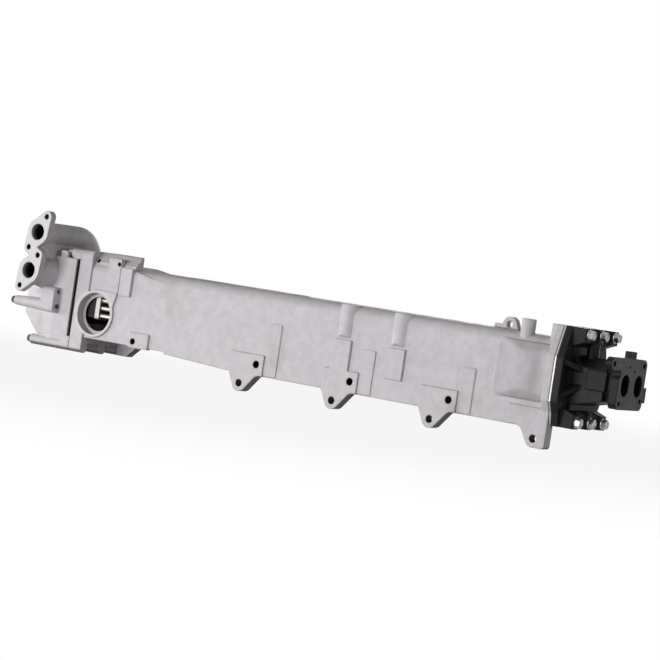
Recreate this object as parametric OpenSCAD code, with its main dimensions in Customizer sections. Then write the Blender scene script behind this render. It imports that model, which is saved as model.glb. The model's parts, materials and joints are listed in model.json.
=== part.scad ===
// EGR cooler: long cast housing on four lugs, finned flat-tube core, outlet cover and inlet diffuser.
// X runs along the length to the hot end, Y points from the lug faces into the housing, Z is up.
// The origin lies on the lug faces, midway along the row of lug holes.

/* [Mounting lugs] */
// Distance between neighbouring lug holes
lug_pitch = 165; // [155:1:175]
// Diameter of the lug holes
lug_hole_d = 11; // [9:0.5:13]
// Radius of the round end of a lug
lug_r = 12.3; // [10:0.1:14]
// Thickness of a lug
lug_t = 17; // [12:1:22]
// Height of the lug pads above the front wall
pad_raise = 3; // [2:0.5:4]
// Depth of the tapped hole in each pad
pad_hole_depth = 18; // [14:1:22]

/* [Housing] */
// Depth of the casting from front wall to rear wall
body_depth = 107; // [102:1:114]
// Height of the casting's underside above the lug holes
body_z0 = 14.5; // [13.5:0.5:15.5]
// Height of the casting
body_h = 125; // [122:1:130]
// Wall thickness of the casting
wall = 5.5; // [4.5:0.5:6.5]
// Radius of the long upper edges
edge_r = 16; // [12:1:20]
// Length of the housing beyond the last lug hole at the hot end
hot_overhang = 18.5; // [17:0.5:22]
// Length of the housing beyond the first lug hole at the cold end
cold_overhang = 329.5; // [320:0.5:345]
// How far the jacket swells out round the hot end of the core
swell = 11; // [8:0.5:12]
// Height of the raised block and joint flange at the cold end above the casting's top
block_raise = 18.5; // [15:0.5:24]
// Thickness of the joint flange at the cold end
joint_t = 24; // [20:1:28]

/* [Coolant port] */
// Outer diameter of the port's ring
port_ring_d = 73; // [70:1:75]
// Diameter of the seat for the coolant pipe
port_seat_d = 64; // [58:1:66]
// Depth of the seat for the coolant pipe
port_seat_depth = 13; // [10:1:16]
// Diameter of the passage behind the seat
port_bore_d = 53; // [46:1:55]

/* [Core] */
// Clearance between the flat tubes and each side wall
core_side = 11.5; // [9:0.5:15]
// Clearance between the topmost tube and the casting's roof
core_headroom = 10.2; // [9:0.1:11.5]
// Clearance between the lowest tube and the casting's floor
core_floor = 27.3; // [26:0.1:29]
// Height of a flat tube
tube_h = 7; // [5:0.5:8]
// Wall thickness of a tube
tube_wall = 0.8; // [0.6:0.1:1]
// Sheet thickness of the folded fins
fin_t = 0.4; // [0.3:0.05:0.5]
// Width of one fold of the fins
fin_pitch = 4; // [3:0.5:6]
// Thickness of the cold header plate
cold_header_t = 8; // [6:0.5:10]
// Thickness of the hot header plate
hot_header_t = 2; // [1.5:0.5:3]
// Thickness of a baffle plate
baffle_t = 2; // [1.5:0.5:3]
// How much narrower the collector's round end is than the header
collector_inset = 3; // [1:0.5:7]

/* [Outlet cover] */
// Length of the cover from its joint face to its far end
cover_l = 112; // [106:1:120]
// Wall thickness of the cover
cover_wall = 6; // [5:0.5:7]
// Distance of the gas flange in front of the lug faces
gas_flange_out = 40; // [36:1:46]
// Thickness of the gas flange
gas_flange_t = 11; // [9:0.5:14]
// Diameter of the gas ports
gas_port_d = 25; // [22:0.5:27]
// Outer diameter of the gas pipes
gas_pipe_d = 34; // [32:0.5:37]
// Distance between the two bolt holes of a gas port
gas_bolt_span = 57.2; // [54:0.1:60]
// Diameter of the bolt holes in the gas flange
gas_bolt_d = 8.5; // [7:0.5:9]
// Radius of the elbow's centre line
elbow_r = 44; // [40:1:46]

/* [Inlet diffuser] */
// Length of the diffuser from its joint face to its inlet face
diffuser_l = 84; // [80:1:92]
// Thickness of the bolt rails
rail_t = 30; // [26:1:33]
// Thickness of the inlet plate
inlet_t = 12; // [10:1:14]
// Width of an inlet port
inlet_port_w = 23; // [20:0.5:25]
// Height of an inlet port
inlet_port_h = 30; // [27:0.5:34]
// Distance between the two inlet ports
inlet_port_pitch = 40; // [38:0.5:42]

/* [Fasteners] */
// Diameter of the bolts
bolt_d = 8; // [6:0.5:9]
// Width across the flats of the bolt heads
bolt_af = 12; // [11:0.5:13]
// Height of the bolt heads
bolt_head_h = 8; // [6:0.5:9]
// Diameter of the long bolts in the cover's bosses
stay_bolt_d = 7; // [6:0.5:8]
// Width across the flats of the long bolts' heads
stay_bolt_af = 10; // [9:0.5:11]
// Depth to which bolts enter the housing
bolt_grip = 16; // [12:1:18]
// Thickness of the gaskets
gasket_t = 1; // [0.6:0.1:1.2]

/* [Hidden] */
$fn = 48;
TUBES = 6;
BAFFLES = 4;
bolt_clear = 0.2;
fit = 0.1;
slide_fit = 0.5;
over = 1;
tuck = 0.05;
bolt_flange = 3;

lug_x = [for (i = [0:3]) (i - 1.5) * lug_pitch];
hot_x = lug_x[3] + hot_overhang;
cold_x = lug_x[0] - cold_overhang;
front_y = pad_raise;
rear_y = front_y + body_depth;
mid_y = (front_y + rear_y) / 2;
body_top = body_z0 + body_h;
block_top = body_top + block_raise;
hole_extra = 2;
pad_corner_r = 2;

// Lug pads, measured from their lug hole
pad_left = 21;
pad_right = 38.7;
pad_top = 45.5;
pad_low = body_z0 + 0.5;
pad_slope = 50;
pad_blend_r = 12;
end_pad_right = 44.5;
end_pad_top = 42;
end_pad_slope = 60;
end_lug_r = 5;
pad_hole = [26, 31];
pad_boss_d = lug_hole_d + 9;

// Side outline of the casting
taper_at = 182;
taper_end_x = lug_x[0] - pad_left;
taper_x = cold_x + taper_at;
taper_rise = 6.5;
taper_step = 3;
floor_rise = taper_rise + taper_step;
hump_rise = 4;
hump_at = [20, 76, 181];
hump_x = [for (d = hump_at) cold_x + d];
roof_pad_at = [172, 382];
roof_pad_x = [for (d = roof_pad_at) cold_x + d];
roof_pad_h = 1;

// Cold end of the housing, measured from its joint face
block_l = 104;
block_tail = 36;
block_crest = 2;
block_r = 5;
block_slope = 15;
block_step = 5;
block_front = front_y + block_step;
block_z0 = body_z0 + floor_rise;
cavity_z0 = block_z0 + wall;
joint_land = 12;
joint_play = 2;
port_at = 40.5;
port_x = cold_x + port_at;
port_z = 63;
port_head = 37;
port_lip = 3;
port_cheek = [0.47, 0.2];
column_at = [55, 80];
column_x = [for (d = column_at) cold_x + d];
column_out = 1.5;
column_over = 8;
cap_at = [83, 105];
cap_x = [for (d = cap_at) cold_x + d];
cap_front = -1;
cap_z = [97, 140];
tapped_at = [29, 76];
tapped_x = [for (d = tapped_at) cold_x + d];
tapped_drop = 14;
tapped_z = block_top - tapped_drop;
tapped_d = 6;
tapped_depth = 12;
foot_pad_at = [114, 152];
foot_pad_x = [for (d = foot_pad_at) cold_x + d];
foot_pad_z = [22, 45.5];
foot_hole_at = [123, 31.5];
foot_hole = [cold_x + foot_hole_at.x, foot_hole_at.y];
foot_hole_d = 9.5;
heel_at = [23, 42, 58];
heel_x = [for (d = heel_at) cold_x + d];
heel_inset = [18, 2];
heel_y = [for (d = heel_inset) rear_y - d];
heel_chamfer = 14;

// Bosses and faint ribs on the front wall
boss_r = 15;
boss_out = 5;
boss_z0 = 92.5;
boss_at = [4.5, -69.8];
boss_x = [for (i = [0:1]) lug_x[i + 1] + boss_at[i]];
boss_pad_z = [44.5, 89];
boss_pad_half = 14.8;
rib_at = [38.5, 61.5];
rib_low = 16;
rib_top = [94, 80, 80];
rib_out = 1;

// Hot end of the housing
hot_wall = 24;
hot_plate_t = 11;
top_rail_t = 18;
swell_l = 93.5;
swell_x0 = hot_x - swell_l;
swell_lip = 2;
swell_z = [50, 130];
swell_slope = 15;
swell_crest = 0.55;
swell_dip = 0.3;
swell_r = 10;
swell_step = 1.5;
flange_rise = [19, 7];
flange_top = body_top + flange_rise[0];
flange_z0 = body_z0 + flange_rise[1];
joint_shoulder = [25, -36];
joint_toe = [4, 17];
flange_out = swell;
spout_back = 58;
spout_x = hot_x - spout_back;
spout_d = 20;
spout_bore_d = 9;
spout_low = 126;
spout_z = [spout_low, flange_top + over];
spout_y = front_y + 0.6 * spout_d;
eye_back = 131;
eye_x = hot_x - eye_back;
eye_r = 11;
eye_foot_r = 17.6;
eye_hole_d = 9.5;
eye_t = 10;
eye_rise = 6.5;
eye_z = body_top + eye_rise;
eye_foot = 24;
eye_foot_h = 6;

// Core
core_top = body_top - wall - core_headroom;
core_low = cavity_z0 + core_floor;
core_h = core_top - core_low;
core_z = (core_top + core_low) / 2;
tube_w = body_depth - 2 * (wall + core_side);
tube_pitch = (core_h - tube_h) / (TUBES - 1);
fin_gap = 2;
header_margin = 3;
header_w = tube_w + 2 * header_margin;
header_h = core_h + 2 * header_margin;
cold_header_at = 29;
cold_header_x = cold_x + cold_header_at;
hot_header_x = hot_x + gasket_t;
tube_x = [cold_header_x, hot_header_x + hot_header_t];
opening_gap = [10, 5];
opening_w = header_w + 2 * opening_gap[0];
opening_h = header_h + 2 * opening_gap[1];
baffle_z = [core_z - opening_h / 2 + slide_fit, core_z + opening_h / 2 - slide_fit];
baffle_y = [front_y + wall + slide_fit, rear_y - wall - slide_fit];
baffle_step = (hot_x - hot_wall - cold_header_x) / (BAFFLES + 1);
collector_d = min(header_w, header_h) - collector_inset;
collector_wall = 2;
collector_box_l = 14;
collector_depth = 13;
seal_d = 4;
seal_inset = 2;

// Outlet cover, measured from its joint face
cover_x = cold_x - gasket_t;
cover_rail_t = 19;
seal_x = cover_x - collector_depth + seal_inset;
cover_setback = 7;
strip_at = [39, 6];
strip_x = [for (d = strip_at) cover_x - d];
strip_foot = 13;
tab_at = [39, 26];
tab_x = [for (d = tab_at) cover_x - d];
tab_t = 5;
tab_h = 10;
strip_raise = 2.5;
strip_z = [strip_foot, body_top + strip_raise];
plenum_slope = 20;
plenum_rear_slope = 6;
plenum_x0 = cover_x - cover_l;
plenum_inset = 4;
plenum_low = [[50, 0], [35, 6], [0, 34]];
plenum_high = [22, 26];
socket_wall = 16;
joint_r = 8;
joint_low = 14;
cover_low = 1;
gas_bolt_tilt = 61;
gas_upper_at = [-58.8, 32.6];
gas_lower_at = [-66.3, -28];
gas_port_upper = [cover_x, strip_z[1]] + gas_upper_at;
gas_port_lower = [cover_x, strip_z[1]] + gas_lower_at;
gas_rim_r = 20.5;
gas_neck_d = 62;
gas_eye_r = 9.3;
gas_waist_r = 8.8;
gas_y = -gas_flange_out;
elbow_y = 56;
elbow_drop = 18;
elbow_web = 15;
long_boss_z = 63.8;
long_boss_y = -4;
long_boss_d = [15, 20];
long_web = [20, 4];
long_lug_at = [57, 30.5];
long_lug_x = [for (d = long_lug_at) cover_x - d];
long_lug_z = [54, 93];
long_lug_front = -14;
long_lug_r = 7;
long_lug_hole_z = 87.2;
long_lug_hole_depth = 14;
stay_d = 16;
stay_l = 79;
stay_z = 7.5;
stay_web = [12, 3];
stay_shift = 3;
stay_y = [stay_d / 2, mid_y - stay_shift, rear_y - stay_d / 2];
top_bolt_inset = 14;
top_bolt_y = [top_bolt_inset, mid_y, rear_y - top_bolt_inset];
top_boss_l = 5;
top_boss_d = bolt_af + bolt_flange;
top_bolt_z = strip_z[1] + top_boss_d / 2 + slide_fit;
top_seat_x = cover_x - cover_rail_t - top_boss_l;

// Inlet diffuser, measured from its joint face
diff_x = hot_header_x + hot_header_t + gasket_t;
face_x = diff_x + diffuser_l;
diff_plate_t = 10;
rail_h = 19;
rail_flare = 12;
rail_half = 49;
hot_bolt_half = 39.5;
hot_bolt_inset = [9, 8.5];
hot_bolt_y = [mid_y - hot_bolt_half, mid_y, mid_y + hot_bolt_half];
hot_bolt_z = [flange_z0 + hot_bolt_inset[0], flange_top - hot_bolt_inset[1]];
scallop_r = 13;

// Duct and inlet head of the diffuser, with heights from the middle of the inlet ports
inlet_drop = 0.3;
inlet_z = core_z - inlet_drop;
inlet_y = [mid_y - inlet_port_pitch / 2, mid_y + inlet_port_pitch / 2];
duct_l = 62;
duct_half = [40, 38];
duct_z = [[-40, 17], [-26, 17]];
roof_half = [38, 16];
roof_z = [15, 31];
crook_top = [36, 41];
crook_top_r = 25;
crook_low = [30, -38];
crook_low_r = 13;
mouth_l = 16;
mouth_half = [37, 33];
mouth_z = [[-35, 35.5], [-22, 14]];
chamber_l = 50;
chamber_half = [33, 31];
chamber_z = [[-21, 13], [-18, 12]];
neck_half = 35;
neck_z = [-26, 28];
neck_r = 20;
plate_half = 40;
plate_z = [-33, 37];
plate_r = 9;
notch = [-46, 15];
notch_r = 9;
ear_r = 8.5;
ear_t = 9;
ear_at = [-60, 31];
ear_y = [for (d = ear_at) mid_y + d];
ear_z = inlet_z + plate_z[1] - ear_r;
ear_hole_d = 8;
inlet_stud_d = 7;
inlet_stud = [[-31, -25], [32, -20]];
pin_hole_d = 4;
pin_hole_depth = 8;
pin_hole = [[-12, 25.5], [2.5, 19.5]];
crown = [[-19, 6, 22], [-11, 26, 46]];
side_block = [[-10, 39, -22], [-1, 50, -1]];
panel = [[36, -40.5, -12], [65, 0, 15]];
web_t = 7;
web_out = 46;
web_rise = 26;
web_turn = [[12, -21], [-12, 42]];
plug_d = 17;
plug_at = [26, -12];

// Prism drawn in Y and Z that runs from x0 to x1
module along_x(x0, x1) {
    translate([x0, 0, 0]) rotate([90, 0, 90]) linear_extrude(x1 - x0) children();
}

// Prism drawn in X and Z that runs from y0 to y1
module along_y(y0, y1) {
    translate([0, y1, 0]) rotate([90, 0, 0]) linear_extrude(y1 - y0) children();
}

// Prism drawn in X and Y that runs from z0 to z1
module along_z(z0, z1) {
    translate([0, 0, z0]) linear_extrude(z1 - z0) children();
}

module rod_x(x0, x1, y, z, d) {
    translate([x0, y, z]) rotate([0, 90, 0]) cylinder(h = x1 - x0, d = d);
}

module rod_y(y0, y1, x, z, d) {
    translate([x, y0, z]) rotate([-90, 0, 0]) cylinder(h = y1 - y0, d = d);
}

module rod_z(z0, z1, x, y, d) {
    translate([x, y, z0]) cylinder(h = z1 - z0, d = d);
}

module box(a, b) {
    translate(a) cube(b - a);
}

// Rectangle between corners a and b with rounded corners
module rounded_rect(a, b, r) {
    translate([a.x + r, a.y]) square([b.x - a.x - 2 * r, b.y - a.y]);
    translate([a.x, a.y + r]) square([b.x - a.x, b.y - a.y - 2 * r]);
    for (x = [a.x + r, b.x - r], y = [a.y + r, b.y - r])
        translate([x, y]) circle(r);
}

// Rectangle between corners a and b with the two upper corners rounded
module arched_rect(a, b, r) {
    translate(a) square([b.x - a.x, b.y - a.y - r]);
    translate([a.x + r, a.y]) square([b.x - a.x - 2 * r, b.y - a.y]);
    for (x = [a.x + r, b.x - r])
        translate([x, b.y - r]) circle(r);
}

// Two discs and the straight edges that touch both
module strap(p, rp, q, rq) {
    run = q - p;
    aim = atan2(run.y, run.x);
    open = acos((rp - rq) / norm(run));
    function rim(c, r, a) = c + r * [cos(a), sin(a)];
    translate(p) circle(rp);
    translate(q) circle(rq);
    polygon([rim(p, rp, aim + open), rim(q, rq, aim + open),
             rim(q, rq, aim - open), rim(p, rp, aim - open)]);
}

// Lug round a hole at the origin, with its pad above and a blended slope on the side that hand points to
module lug_outline(hand, back, ahead, top, slope) {
    reach = norm([back, pad_low]);
    touch = atan2(pad_low, -back) + acos(lug_r / reach);
    foot = (lug_r - tuck) * [sin(slope), -cos(slope)];
    knee = [foot.x + (pad_low - foot.y) / tan(slope), pad_low];
    blend = pad_blend_r * tan(slope / 2);
    function turned(points) = [for (p = points) [hand * p.x, p.y]];
    circle(lug_r);
    polygon(turned([[-back, pad_low], [-back, top], [ahead, top], [ahead, pad_low], knee, foot,
                    (lug_r - tuck) * [cos(touch), sin(touch)]]));
    difference() {
        polygon(turned([knee - blend * [cos(slope), sin(slope)], knee + [0, 1], knee + [blend, 1],
                        knee + [blend, 0]]));
        translate([hand * (knee.x + blend), knee.y - pad_blend_r]) circle(pad_blend_r + tuck);
    }
}

module lugs() {
    for (i = [0:2])
        along_y(0, lug_t) translate([lug_x[i], 0])
            lug_outline(1, pad_left, pad_right, pad_top, pad_slope);
    along_y(0, lug_t) translate([lug_x[3], 0]) {
        lug_outline(-1, lug_r + over, end_pad_right, end_pad_top, end_pad_slope);
        rounded_rect([0, -lug_r], [hot_overhang, end_pad_top], end_lug_r);
    }
}

// Side outline of the long casting
module side_outline() {
    polygon([[cold_x, body_top], [hot_x, body_top], [hot_x, body_z0], [taper_end_x, body_z0],
             [taper_x, body_z0 + taper_rise], [taper_x, block_z0], [cold_x, block_z0]]);
}

module body() {
    intersection() {
        along_x(cold_x + joint_t - over, hot_x)
            arched_rect([front_y, block_z0 - floor_rise - over], [rear_y, body_top], edge_r);
        along_y(front_y - over, rear_y + over) side_outline();
    }
    intersection() {
        along_x(cold_x + joint_t, hump_x[2])
            arched_rect([front_y, block_z0], [rear_y, body_top + hump_rise], edge_r);
        along_y(front_y - over, rear_y + over)
            polygon([[hump_x[0], block_z0], [hump_x[0], body_top + hump_rise],
                     [hump_x[1], body_top + hump_rise], [hump_x[2], body_top - edge_r - over],
                     [hump_x[2], block_z0]]);
    }
    along_z(body_top - over, body_top + roof_pad_h)
        rounded_rect([roof_pad_x[0], front_y + 2 * edge_r], [roof_pad_x[1], rear_y - 2 * edge_r], edge_r / 2);
}

module cavity() {
    along_x(cold_x - over, cold_x + joint_t) header_rect(-joint_play);
    along_x(cold_x + joint_land, hot_x - hot_wall)
        arched_rect([front_y + wall, cavity_z0], [rear_y - wall, body_top - wall], edge_r - wall);
    along_x(swell_x0 + 2 * swell, hot_x + over)
        rounded_rect([mid_y - opening_w / 2, core_z - opening_h / 2],
                     [mid_y + opening_w / 2, core_z + opening_h / 2], swell_r);
}

// Outline that the housing, gasket and cover share at the cold joint, with a foot round each long bolt
module joint_outline(front, top) {
    rounded_rect([front, joint_low], [rear_y, top], joint_r);
    for (y = stay_y) {
        translate([y, stay_z]) circle(d = stay_d);
        translate([y - stay_d / 2, stay_z]) square([stay_d, joint_low + joint_r - stay_z]);
    }
}

// Raised block and joint flange at the cold end
module cold_end() {
    intersection() {
        along_x(cold_x, cold_x + block_l)
            polygon([[block_front, block_z0], [block_front, block_top - block_slope],
                     [block_front + block_slope, block_top], [rear_y - block_slope, block_top],
                     [rear_y, block_top - block_slope], [rear_y, block_z0]]);
        along_y(0, rear_y + over)
            translate([-block_l, 0]) rounded_rect([cold_x, 0], [cold_x + 2 * block_l, block_top], block_r);
        along_z(0, block_top)
            polygon([[cold_x, 0], [cold_x + block_l, 0],
                     [cold_x + block_l, block_front + block_slope + block_crest],
                     [cold_x + block_tail, rear_y + over], [cold_x, rear_y + over]]);
    }
    along_x(cold_x, cold_x + joint_t) joint_outline(0, block_top);
    rod_y(0, block_front + wall, port_x, port_z, port_ring_d);
    along_y(0, block_front + wall)
        polygon([[port_x, port_z], [port_x, port_z + port_head], [column_x[1], port_z + port_head],
                 [port_x, port_z] + port_ring_d * port_cheek]);
    box([column_x[0], front_y - column_out, port_z + port_head],
        [column_x[1], block_front + over, tapped_z + column_over]);
    box([cap_x[0], cap_front, cap_z[0]], [cap_x[1], block_front + over, cap_z[1]]);
    along_y(heel_y[0], heel_y[1])
        polygon([[heel_x[0], 0], [heel_x[1], 0], [heel_x[2], heel_chamfer], [heel_x[2], block_z0 + over],
                 [heel_x[0], block_z0 + over]]);
    along_y(0, front_y + wall)
        rounded_rect([foot_pad_x[0], foot_pad_z[0]], [foot_pad_x[1], foot_pad_z[1]], pad_corner_r);
}

// Half-round bosses, their pads and the faint rib beside each lug pad
module front_bosses() {
    for (x = boss_x) {
        difference() {
            rod_z(boss_z0, body_top, x, front_y + boss_r - boss_out, 2 * boss_r);
            translate([x, front_y - boss_out, boss_z0]) rotate([45, 0, 0])
                cube([3 * boss_r, boss_out, boss_out], center = true);
        }
        along_y(0, front_y + over)
            rounded_rect([x - boss_pad_half, boss_pad_z[0]], [x + boss_pad_half, boss_pad_z[1]],
                         pad_corner_r);
    }
    for (i = [0:2])
        along_y(front_y - rib_out, front_y + over) translate([lug_x[i], 0])
            rounded_rect([rib_at[0], rib_low], [rib_at[1], rib_top[i]], pad_corner_r);
}

// Height of the swell at share u of its length: it rises, dips a little and meets the flange
function swell_rise(u) = u < swell_crest
    ? (1 - cos(180 * u / swell_crest)) / 2
    : 1 - swell_dip * pow(sin(180 * pow((u - swell_crest) / (1 - swell_crest), 1.4)), 2);

module swell_half() {
    steps = 24;
    x1 = hot_x - hot_plate_t / 2;
    base_y = front_y - swell_step;
    along_y(base_y, front_y + wall)
        rounded_rect([swell_x0, swell_z[0]], [hot_x - hot_plate_t, swell_z[1]], swell_r);
    intersection() {
        along_z(swell_z[0], swell_z[1])
            polygon(concat(
                [[x1, front_y + wall], [swell_x0 + swell_r / 2, front_y + wall]],
                [for (i = [0:steps]) [swell_x0 + swell_r / 2 + (x1 - swell_x0 - swell_r / 2) * i / steps,
                                      base_y - (swell - swell_step) * swell_rise(i / steps)]]));
        along_x(swell_x0, x1)
            polygon([[front_y + wall, swell_z[0] + swell_lip], [base_y, swell_z[0] + swell_lip],
                     [front_y - swell - over, swell_z[0] + swell_slope],
                     [front_y - swell - over, swell_z[1] - swell_slope],
                     [base_y, swell_z[1] - swell_lip], [front_y + wall, swell_z[1] - swell_lip]]);
    }
}

// Outline that the housing, hot header, gaskets and diffuser share at the hot joint
function joint_side() = [[rail_half, flange_top], [mid_y - front_y + flange_out, core_z + joint_shoulder[0]],
                         [mid_y - front_y + flange_out, core_z + joint_shoulder[1]],
                         [mid_y, flange_z0 + joint_toe.y], [mid_y - joint_toe.x, flange_z0]];

module hot_outline() {
    translate([mid_y, 0])
        polygon(concat([for (p = joint_side()) p],
                       [for (i = [len(joint_side()) - 1:-1:0]) [-joint_side()[i].x, joint_side()[i].y]]));
}

module hot_bolt_holes(x0, x1, d) {
    for (y = hot_bolt_y, z = hot_bolt_z)
        rod_x(x0, x1, y, z, d);
}

// Joint plate, top rail, spout and lifting eye at the hot end
module hot_end() {
    along_x(hot_x - hot_plate_t, hot_x) hot_outline();
    box([hot_x - top_rail_t, mid_y - rail_half, body_top - edge_r], [hot_x, mid_y + rail_half, flange_top]);
    swell_half();
    translate([0, 2 * mid_y, 0]) mirror([0, 1, 0]) swell_half();
    rod_z(spout_z[0], spout_z[1], spout_x, spout_y, spout_d);
    along_y(rear_y - eye_t - wall, rear_y - wall) {
        strap([eye_x, eye_z], eye_r, [eye_x, body_top - eye_r], eye_foot_r);
        translate([eye_x - eye_foot, body_top - over]) square([eye_foot, eye_foot_h + over]);
    }
}

module housing() {
    color("gainsboro")
    difference() {
        union() {
            difference() {
                union() {
                    body();
                    cold_end();
                    front_bosses();
                    hot_end();
                    lugs();
                }
                cavity();
                box([taper_x, lug_t, 0], [hot_x + over, rear_y + over, flange_z0]);
            }
            for (i = [0:2])
                rod_y(front_y, pad_hole_depth + wall, lug_x[i] + pad_hole.x, pad_hole.y, pad_boss_d);
            rod_y(front_y, pad_hole_depth, foot_hole.x, foot_hole.y + over, foot_hole_d + wall);
            rod_y(front_y, port_seat_depth + port_lip, port_x, port_z, port_ring_d);
        }
        for (x = lug_x)
            rod_y(-over, lug_t + over, x, 0, lug_hole_d);
        for (i = [0:2])
            rod_y(-over, pad_hole_depth, lug_x[i] + pad_hole.x, pad_hole.y, lug_hole_d);
        rod_y(-over, pad_hole_depth - wall, foot_hole.x, foot_hole.y, foot_hole_d);
        rod_y(-over, port_seat_depth, port_x, port_z, port_seat_d);
        rod_y(0, mid_y - header_w / 2 - over, port_x, port_z, port_bore_d);
        for (x = tapped_x)
            rod_y(-over, block_front + tapped_depth, x, tapped_z, tapped_d);
        rod_z(core_z, spout_z[1] + over, spout_x, spout_y, spout_bore_d);
        rod_y(rear_y - 2 * eye_t, rear_y, eye_x, eye_z, eye_hole_d);
        hot_bolt_holes(hot_x - bolt_grip - hole_extra, hot_x + over, bolt_d + bolt_clear);
        for (y = top_bolt_y)
            rod_x(cold_x - over, cold_x + bolt_grip + hole_extra, y, top_bolt_z, bolt_d + bolt_clear);
        for (y = stay_y)
            rod_x(cold_x - over, cold_x + bolt_grip + hole_extra, y, stay_z, stay_bolt_d + bolt_clear);
    }
}

// Plan of the cover's chamber, drawn in by g
module plenum_plan(g) {
    polygon([[strip_x[1], g], [strip_x[0], g], [plenum_x0 + g, plenum_slope + g],
             [plenum_x0 + g, rear_y - plenum_inset - plenum_rear_slope - g],
             [strip_x[0], rear_y - plenum_inset - g], [strip_x[1], rear_y - plenum_inset - g]]);
}

// Side view of the cover's chamber, drawn in by g
module plenum_side(g) {
    polygon([[strip_x[1], strip_z[0] + g], [plenum_x0 + plenum_low[0].x, strip_z[0] + g],
             [plenum_x0 + plenum_low[1].x, strip_z[0] + plenum_low[1].y + g],
             [plenum_x0 + g, strip_z[0] + plenum_low[2].y + g / 2],
             [plenum_x0 + g, strip_z[1] - plenum_high.y - g / 2],
             [plenum_x0 + plenum_high.x, strip_z[1] - g], [strip_x[1], strip_z[1] - g]]);
}

module plenum(g) {
    intersection() {
        along_z(0, block_top) plenum_plan(g);
        along_y(-over, rear_y + over) plenum_side(g);
    }
}

// Elbow and straight runs of the upper gas pipe at diameter d
module upper_pipe(d, y0) {
    p = gas_port_upper;
    rod_y(y0, elbow_y, p.x, p.y, d);
    translate([p.x, elbow_y, p.y - elbow_r]) rotate([90, 0, 90])
        rotate_extrude(angle = 90) translate([elbow_r, 0]) circle(d = d);
    rod_z(p.y - elbow_r - elbow_drop, p.y - elbow_r, p.x, elbow_y + elbow_r, d);
    translate([p.x, elbow_y + elbow_r, p.y - elbow_r - elbow_drop]) sphere(d = d);
}

function gas_bolts(p) =
    [for (s = [1, -1]) p + s * gas_bolt_span / 2 * [cos(gas_bolt_tilt), sin(gas_bolt_tilt)]];

module gas_flange() {
    along_y(gas_y, gas_y + gas_flange_t) {
        for (p = [gas_port_upper, gas_port_lower], q = gas_bolts(p))
            strap(p, gas_rim_r, q, gas_eye_r);
        strap(gas_bolts(gas_port_upper)[1], gas_eye_r, gas_bolts(gas_port_lower)[0], gas_waist_r);
    }
}

module outlet_cover() {
    color("gainsboro")
    difference() {
        union() {
            plenum(0);
            along_x(cover_x - cover_rail_t, cover_x) joint_outline(cover_setback, block_top - cover_low);
            upper_pipe(gas_pipe_d, gas_y + over);
            translate([gas_port_lower.x, gas_y + over, gas_port_lower.y]) rotate([-90, 0, 0])
                cylinder(h = plenum_slope + gas_flange_out, d1 = gas_pipe_d, d2 = gas_neck_d);
            box([gas_port_upper.x - elbow_web / 2, gas_y + gas_flange_t - over, strip_z[1] - cover_wall],
                [gas_port_upper.x + elbow_web / 2, elbow_y + elbow_r / 2, gas_port_upper.y]);
            gas_flange();
            box([tab_x[0], 0, strip_z[1] - over], [tab_x[1], tab_t, strip_z[1] + tab_h]);
            translate([plenum_x0, long_boss_y, long_boss_z]) rotate([0, 90, 0])
                cylinder(h = long_lug_x[0] - plenum_x0 + over, d1 = long_boss_d[0], d2 = long_boss_d[1]);
            box([plenum_x0 + long_web.x, long_boss_y, long_boss_z - long_web.y],
                [strip_x[0], plenum_slope, long_boss_z + long_web.y]);
            along_x(long_lug_x[0], long_lug_x[1])
                rounded_rect([long_lug_front, long_lug_z[0]], [2 * long_lug_r, long_lug_z[1]], long_lug_r);
            for (y = top_bolt_y)
                rod_x(top_seat_x, cover_x - over, y, top_bolt_z, top_boss_d);
            for (y = stay_y) {
                rod_x(cover_x - stay_l, cover_x, y, stay_z, stay_d);
                box([cover_x - stay_l + stay_web.x, y - stay_web.y, stay_z],
                    [cover_x - over, y + stay_web.y, strip_z[0] + cover_wall]);
            }
        }
        difference() {
            plenum(cover_wall);
            along_x(cover_x - socket_wall, cover_x) square([rear_y, block_top]);
        }
        upper_pipe(gas_port_d, gas_y - over);
        rod_y(gas_y - over, mid_y, gas_port_lower.x, gas_port_lower.y, gas_port_d);
        for (p = [gas_port_upper, gas_port_lower], q = gas_bolts(p))
            rod_y(gas_y - over, gas_y + gas_flange_t + over, q.x, q.y, gas_bolt_d);
        rod_x(cover_x - socket_wall - over, cover_x + over, mid_y, core_z, collector_d + 2 * fit);
        rod_x(seal_x, seal_x + seal_d + fit, mid_y, core_z, collector_d + 2 * seal_d);
        rod_x(plenum_x0 - over, long_lug_x[1] + over, long_boss_y, long_boss_z, stay_bolt_d + bolt_clear);
        rod_x(long_lug_x[1] - long_lug_hole_depth, long_lug_x[1] + over, long_boss_y, long_lug_hole_z,
              stay_bolt_d + bolt_clear);
        for (y = top_bolt_y)
            rod_x(top_seat_x - over, cover_x + over, y, top_bolt_z, bolt_d + bolt_clear);
        for (y = stay_y)
            rod_x(cover_x - stay_l - over, cover_x + over, y, stay_z, stay_bolt_d + bolt_clear);
    }
}

module cover_gasket() {
    color("dimgray")
    difference() {
        along_x(cover_x, cold_x) joint_outline(cover_setback, block_top - cover_low);
        rod_x(cover_x - over, cold_x + over, mid_y, core_z, collector_d + 2 * fit);
        for (y = top_bolt_y)
            rod_x(cover_x - over, cold_x + over, y, top_bolt_z, bolt_d + bolt_clear);
        for (y = stay_y)
            rod_x(cover_x - over, cold_x + over, y, stay_z, stay_bolt_d + bolt_clear);
    }
}

// Flat tube's section at height z, drawn in by g
module tube_section(z, g) {
    half = [tube_w / 2 - g, tube_h / 2 - g];
    rounded_rect([mid_y, z] - half, [mid_y, z] + half, half.y - tube_wall / 2);
}

function tube_z(i) = core_z + (i - (TUBES + 1) / 2) * tube_pitch;

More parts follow.
